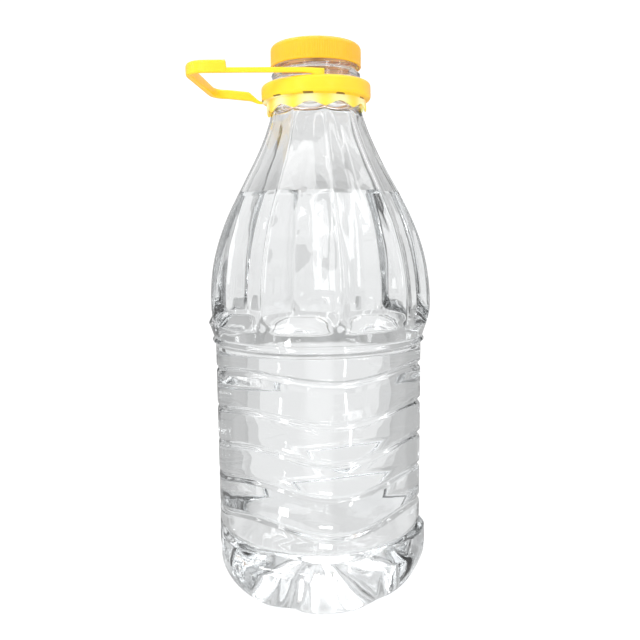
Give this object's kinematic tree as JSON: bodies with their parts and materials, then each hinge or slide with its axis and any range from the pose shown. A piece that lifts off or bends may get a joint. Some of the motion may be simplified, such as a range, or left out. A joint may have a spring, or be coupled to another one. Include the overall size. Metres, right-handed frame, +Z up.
{
  "type": "plastic water jug",
  "caption": "Clear ribbed plastic water bottle, filled and shut with a yellow screw cap, with a yellow carrying loop round its neck.",
  "frame": {"origin": "on the table under the centre of the whole object's bounding box, which is 2.7 mm from the bottle's own axis because the carrying loop reaches out on one side", "axes": "+Z up along the bottle, -Y towards the front, -X towards the carrying loop"},
  "size_m": [0.1313, 0.1252, 0.3052],
  "materials": {
    "clear_plastic": "clear gloss",
    "water": "clear liquid",
    "cap_yellow": "satin moulded plastic",
    "handle_yellow": "satin moulded plastic"
  },
  "bodies": {
    "root": {"bottle": "clear_plastic", "water": "water", "cap": "cap_yellow", "handle": "handle_yellow"}
  },
  "joints": []
}
